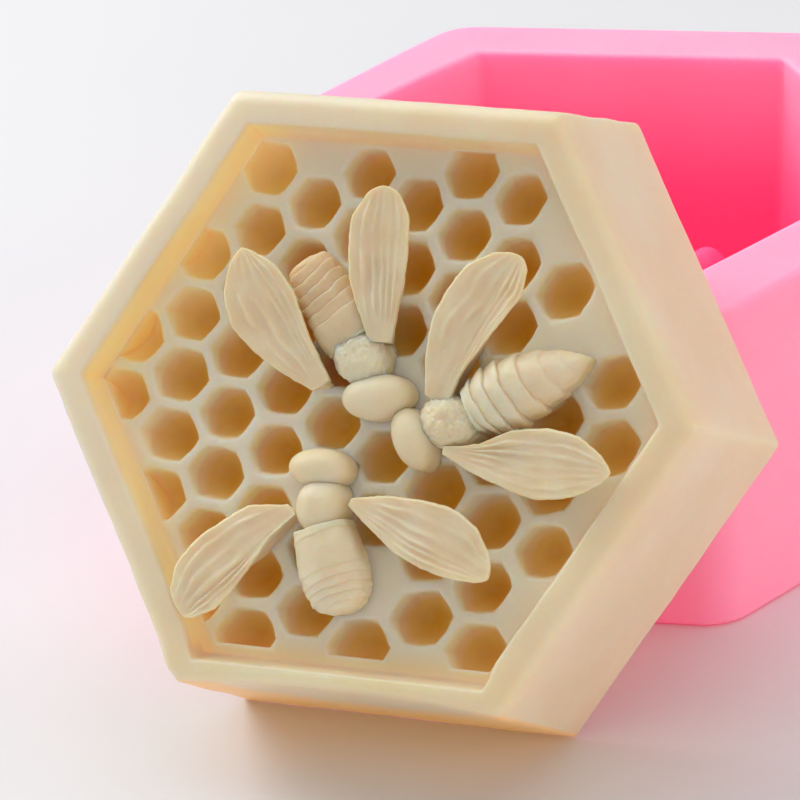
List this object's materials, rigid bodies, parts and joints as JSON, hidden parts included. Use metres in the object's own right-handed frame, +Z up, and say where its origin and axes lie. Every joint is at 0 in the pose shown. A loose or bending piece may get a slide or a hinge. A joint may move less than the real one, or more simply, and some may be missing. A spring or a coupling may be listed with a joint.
{
  "type": "honeycomb and bees candle mold with its casting",
  "caption": "Hexagonal silicone candle mold with a honeycomb bed and sunk bees, and the wax piece cast in it leaning on its wall.",
  "frame": {"origin": "centre of the mold's flat underside, on the surface that it stands on", "axes": "+Z up out of the mold's mouth, +Y from the leaning casting to the mold, +X to the right as seen facing the casting"},
  "size_m": [0.1012, 0.1373, 0.0713],
  "materials": {
    "silicone": "satin pink silicone rubber, slightly translucent",
    "silicone_relief": "satin pink silicone rubber, deeper pink in the cavity",
    "wax": "cream candle wax, satin and translucent",
    "wax_comb": "cream candle wax, golden in the cells",
    "wax_bee": "cream candle wax, satin",
    "wax_wing": "thin cream candle wax, paler"
  },
  "bodies": {
    "mold": {"mold_wall": "silicone", "mold_floor": "silicone", "mold_comb_bed": "silicone_relief", "mold_cell_studs": "silicone_relief"},
    "casting": {"casting_backing": "wax", "casting_rim": "wax", "casting_comb": "wax_comb", "bee_a_head": "wax_bee", "bee_a_thorax": "wax_bee", "bee_a_abdomen": "wax_bee", "bee_a_left_wing": "wax_wing", "bee_a_right_wing": "wax_wing", "bee_b_head": "wax_bee", "bee_b_thorax": "wax_bee", "bee_b_abdomen": "wax_bee", "bee_b_left_wing": "wax_wing", "bee_b_right_wing": "wax_wing", "bee_c_head": "wax_bee", "bee_c_thorax": "wax_bee", "bee_c_abdomen": "wax_bee", "bee_c_left_wing": "wax_wing", "bee_c_right_wing": "wax_wing"}
  },
  "joints": [
    {"name": "casting_lift", "type": "slide", "parent": "mold", "child": "casting", "axis": [0, 0, 1], "range_m": [0, 0.09]}
  ]
}
